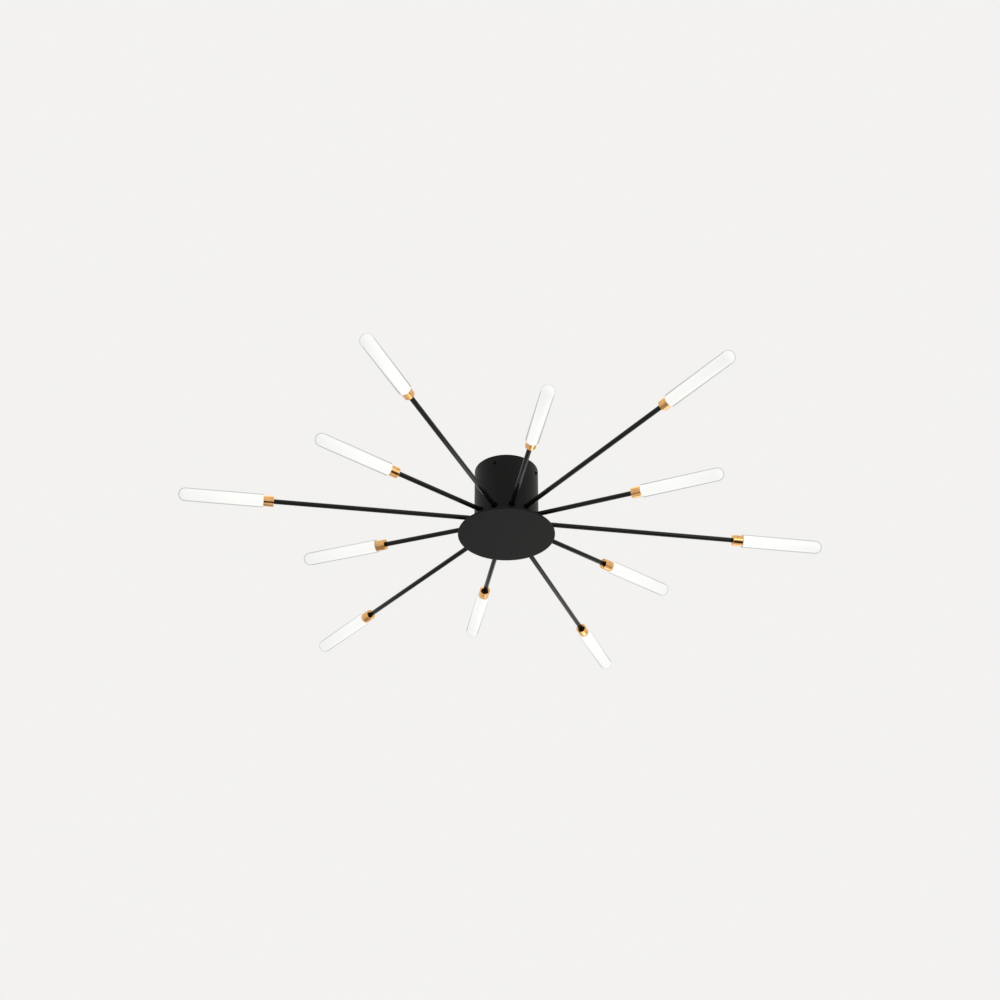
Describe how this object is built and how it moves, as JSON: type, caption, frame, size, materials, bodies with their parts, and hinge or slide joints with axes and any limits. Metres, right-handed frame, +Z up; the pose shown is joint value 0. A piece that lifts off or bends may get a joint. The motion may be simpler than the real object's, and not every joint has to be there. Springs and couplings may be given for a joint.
{
  "type": "sputnik chandelier",
  "caption": "Flush-mounted starburst ceiling light: round canopy and disc, radial black arms with brass ferrules and glowing frosted rods.",
  "frame": {"origin": "centre of the ceiling face, between the two ceiling slots", "axes": "+Z up into the ceiling, +X along arm 7, a long arm; the lamp hangs below the origin"},
  "size_m": [1.08, 0.9425, 0.125],
  "materials": {
    "black_satin": "satin black powder coat",
    "arm_black": "satin black paint on drawn tube",
    "polished_brass": "polished and lacquered",
    "frosted_glow": "frosted acrylic, lit from inside",
    "zinc_plate": "zinc plated sheet",
    "zinc_screws": "zinc plated",
    "black_screws": "black oxide",
    "brass_screws": "plain turned",
    "cast_alloy": "machined",
    "driver_plastic": "moulded, fine texture",
    "white_plastic": "moulded",
    "black_rubber": "matte",
    "board_green": "solder mask",
    "board_white": "white solder mask",
    "led_phosphor": "phosphor gel",
    "lead_insulation": "silicone insulation"
  },
  "bodies": {
    "fixture": {"ceiling_bracket": "zinc_plate", "cable_grommet": "black_rubber", "terminal_block": "white_plastic", "terminal_screws": "brass_screws", "earth_screws": "brass_screws", "canopy": "black_satin", "canopy_screws": "black_screws", "disc_cover": "black_satin", "disc_studs": "zinc_screws", "hub_spacers": "zinc_screws", "arm_hub": "cast_alloy", "arm_locknuts": "zinc_screws", "driver_tray": "zinc_plate", "stud_nuts": "zinc_screws", "led_driver": "driver_plastic", "distribution_board": "board_green", "board_terminals": "white_plastic", "board_standoffs": "brass_screws", "m3_screws": "zinc_screws", "inner_leads": "lead_insulation", "arm_01": "arm_black", "arm_02": "arm_black", "arm_03": "arm_black", "arm_04": "arm_black", "arm_05": "arm_black", "arm_06": "arm_black", "arm_07": "arm_black", "arm_08": "arm_black", "arm_09": "arm_black", "arm_10": "arm_black", "arm_11": "arm_black", "arm_12": "arm_black", "ferrule_01": "polished_brass", "ferrule_02": "polished_brass", "ferrule_03": "polished_brass", "ferrule_04": "polished_brass", "ferrule_05": "polished_brass", "ferrule_06": "polished_brass", "ferrule_07": "polished_brass", "ferrule_08": "polished_brass", "ferrule_09": "polished_brass", "ferrule_10": "polished_brass", "ferrule_11": "polished_brass", "ferrule_12": "polished_brass", "led_boards": "board_white", "led_stripes": "led_phosphor", "board_holders": "white_plastic", "led_leads": "lead_insulation"},
    "rod_01": {"diffuser_01": "frosted_glow"},
    "rod_02": {"diffuser_02": "frosted_glow"},
    "rod_03": {"diffuser_03": "frosted_glow"},
    "rod_04": {"diffuser_04": "frosted_glow"},
    "rod_05": {"diffuser_05": "frosted_glow"},
    "rod_06": {"diffuser_06": "frosted_glow"},
    "rod_07": {"diffuser_07": "frosted_glow"},
    "rod_08": {"diffuser_08": "frosted_glow"},
    "rod_09": {"diffuser_09": "frosted_glow"},
    "rod_10": {"diffuser_10": "frosted_glow"},
    "rod_11": {"diffuser_11": "frosted_glow"},
    "rod_12": {"diffuser_12": "frosted_glow"}
  },
  "joints": [
    {"name": "rod_01_pull", "type": "slide", "parent": "fixture", "child": "rod_01", "axis": [-1, 0, 0], "range_m": [0, 0.15]},
    {"name": "rod_02_pull", "type": "slide", "parent": "fixture", "child": "rod_02", "axis": [-0.8745, -0.4847, 0.0175], "range_m": [0, 0.15]},
    {"name": "rod_03_pull", "type": "slide", "parent": "fixture", "child": "rod_03", "axis": [-0.515, -0.857, -0.0175], "range_m": [0, 0.15]},
    {"name": "rod_04_pull", "type": "slide", "parent": "fixture", "child": "rod_04", "axis": [0.0175, -0.9998, -0.0087], "range_m": [0, 0.15]},
    {"name": "rod_05_pull", "type": "slide", "parent": "fixture", "child": "rod_05", "axis": [0.4921, -0.8698, 0.0349], "range_m": [0, 0.15]},
    {"name": "rod_06_pull", "type": "slide", "parent": "fixture", "child": "rod_06", "axis": [0.8526, -0.5225, -0.0087], "range_m": [0, 0.15]},
    {"name": "rod_07_pull", "type": "slide", "parent": "fixture", "child": "rod_07", "axis": [0.9999, -0.0087, -0.0087], "range_m": [0, 0.15]},
    {"name": "rod_08_pull", "type": "slide", "parent": "fixture", "child": "rod_08", "axis": [0.8478, 0.5297, 0.0262], "range_m": [0, 0.15]},
    {"name": "rod_09_pull", "type": "slide", "parent": "fixture", "child": "rod_09", "axis": [0.4924, 0.8704, 0], "range_m": [0, 0.15]},
    {"name": "rod_10_pull", "type": "slide", "parent": "fixture", "child": "rod_10", "axis": [-0.0174, 0.9997, -0.0175], "range_m": [0, 0.15]},
    {"name": "rod_11_pull", "type": "slide", "parent": "fixture", "child": "rod_11", "axis": [-0.5075, 0.8615, -0.0175], "range_m": [0, 0.15]},
    {"name": "rod_12_pull", "type": "slide", "parent": "fixture", "child": "rod_12", "axis": [-0.8613, 0.5074, 0.0262], "range_m": [0, 0.15]}
  ]
}
